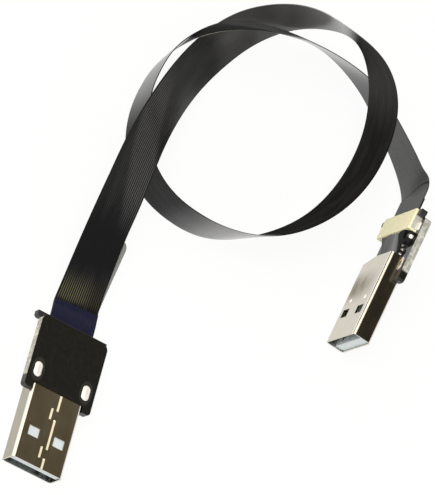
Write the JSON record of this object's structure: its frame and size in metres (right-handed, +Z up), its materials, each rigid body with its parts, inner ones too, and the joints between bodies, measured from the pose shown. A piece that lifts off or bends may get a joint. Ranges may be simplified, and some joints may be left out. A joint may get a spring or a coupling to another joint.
{
  "type": "flat ribbon cable with two board plugs",
  "caption": "Black flat flexible ribbon cable, loosely knotted, with a bare metal plug on a small black circuit board and a cream ribbon socket at each end.",
  "frame": {"origin": "Middle of plug A's lower wide face, where it rests on the table, 10 mm behind its nose.", "axes": "+X across plug A, +Y from plug A's nose to its ribbon, +Z up."},
  "size_m": [0.0768, 0.1182, 0.0221],
  "materials": {
    "plated_shell": "bright nickel plate with fine scratches",
    "pale_insulator": "moulded, satin",
    "gold_contact": "gold flashed",
    "solder": "bright, slightly uneven",
    "black_board": "glossy black solder mask over laminate",
    "cream_housing": "moulded, satin",
    "tin_pin": "tin plate, satin",
    "black_lock": "moulded, satin",
    "black_glue": "set hard and glossy",
    "blue_stiffener": "smooth film",
    "black_ribbon": "laminated film with fine lines along it",
    "grey_strip": "smooth film"
  },
  "bodies": {
    "cable": {"shell_a": "plated_shell", "tongue_a": "pale_insulator", "contacts_a": "gold_contact", "contact_solder_a": "solder", "board_a": "black_board", "leg_solder_a": "solder", "socket_a": "cream_housing", "socket_pins_a": "tin_pin", "socket_tabs_a": "tin_pin", "tab_solder_a": "solder", "glue_a": "black_glue", "stiffener_a": "blue_stiffener", "shell_b": "plated_shell", "tongue_b": "pale_insulator", "contacts_b": "gold_contact", "contact_solder_b": "solder", "board_b": "black_board", "leg_solder_b": "solder", "socket_b": "cream_housing", "socket_pins_b": "tin_pin", "socket_tabs_b": "tin_pin", "tab_solder_b": "solder", "glue_b": "black_glue", "stiffener_b": "blue_stiffener", "ribbon": "black_ribbon", "backing_strip": "grey_strip"},
    "lock_slider_a": {"lock_a": "black_lock"},
    "lock_slider_b": {"lock_b": "black_lock"}
  },
  "joints": [
    {"name": "lock_a_slide", "type": "slide", "parent": "cable", "child": "lock_slider_a", "axis": [0, 1, 0], "range_m": [0, 0.001]},
    {"name": "lock_b_slide", "type": "slide", "parent": "cable", "child": "lock_slider_b", "axis": [0.1382, 0.9836, 0.1158], "range_m": [0, 0.001]}
  ]
}
